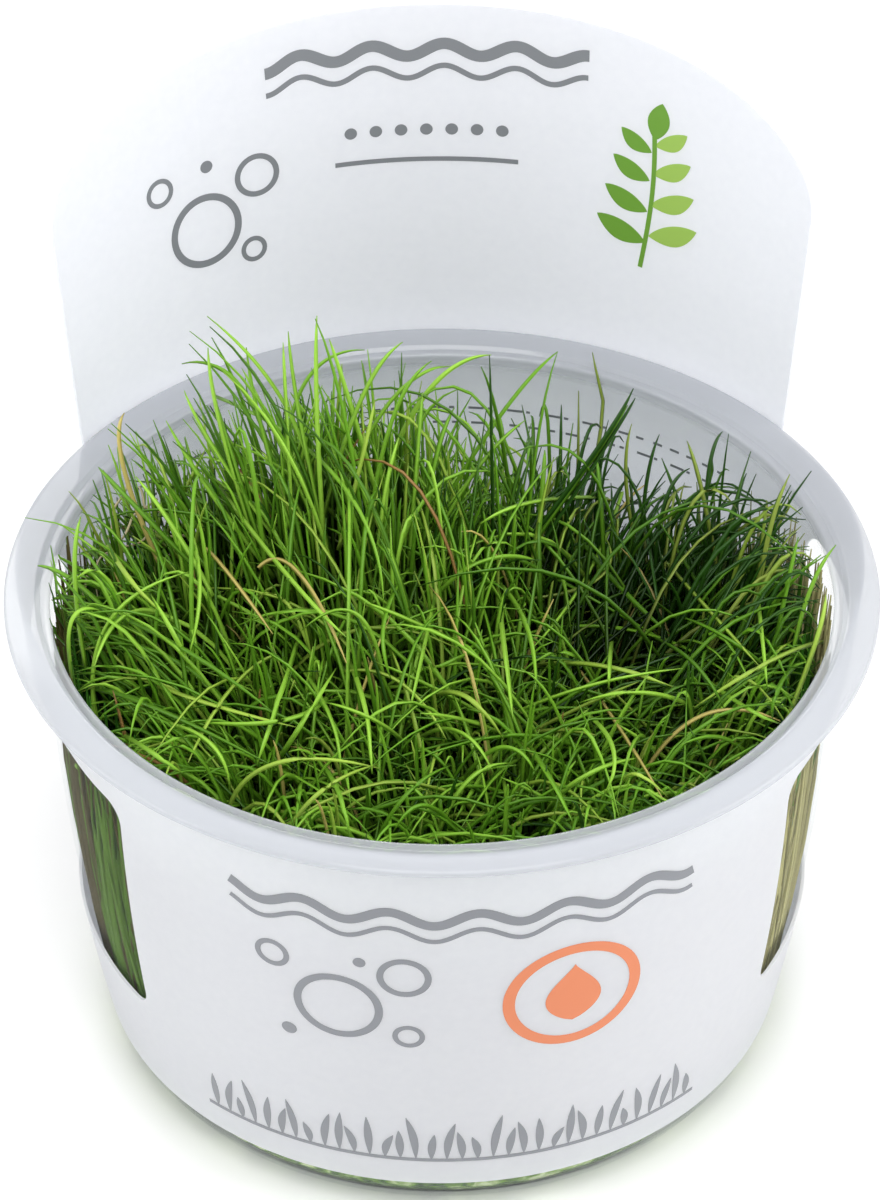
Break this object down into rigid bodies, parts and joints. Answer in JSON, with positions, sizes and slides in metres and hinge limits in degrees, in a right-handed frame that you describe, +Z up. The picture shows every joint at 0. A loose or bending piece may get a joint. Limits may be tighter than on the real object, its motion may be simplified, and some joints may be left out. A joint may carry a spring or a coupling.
{
  "type": "potted aquarium plant",
  "caption": "Dwarf hairgrass, a carpeting aquarium plant, growing on nutrient gel in a round translucent tub inside a card sleeve with a tall arched header.",
  "frame": {"origin": "middle of the tub's flat underside", "axes": "+Z up out of the tub's mouth, -Y towards the front of the sleeve, +Y towards the tall header"},
  "size_m": [0.101, 0.1065, 0.105],
  "materials": {
    "tub": "translucent",
    "card": "satin",
    "gel": "gloss",
    "grass": "satin"
  },
  "bodies": {
    "root": {"tub": "tub", "card_sleeve": "card", "growth_gel": "gel", "plantlet_01": "grass", "plantlet_02": "grass", "plantlet_03": "grass", "plantlet_04": "grass", "plantlet_05": "grass", "plantlet_06": "grass", "plantlet_07": "grass", "plantlet_08": "grass", "plantlet_09": "grass", "plantlet_10": "grass", "plantlet_11": "grass", "plantlet_12": "grass", "plantlet_13": "grass", "plantlet_14": "grass", "plantlet_15": "grass", "plantlet_16": "grass", "plantlet_17": "grass", "plantlet_18": "grass", "plantlet_19": "grass", "plantlet_20": "grass", "plantlet_21": "grass", "plantlet_22": "grass", "plantlet_23": "grass", "plantlet_24": "grass", "plantlet_25": "grass", "plantlet_26": "grass", "plantlet_27": "grass", "plantlet_28": "grass", "plantlet_29": "grass", "plantlet_30": "grass", "plantlet_31": "grass", "plantlet_32": "grass"}
  },
  "joints": []
}
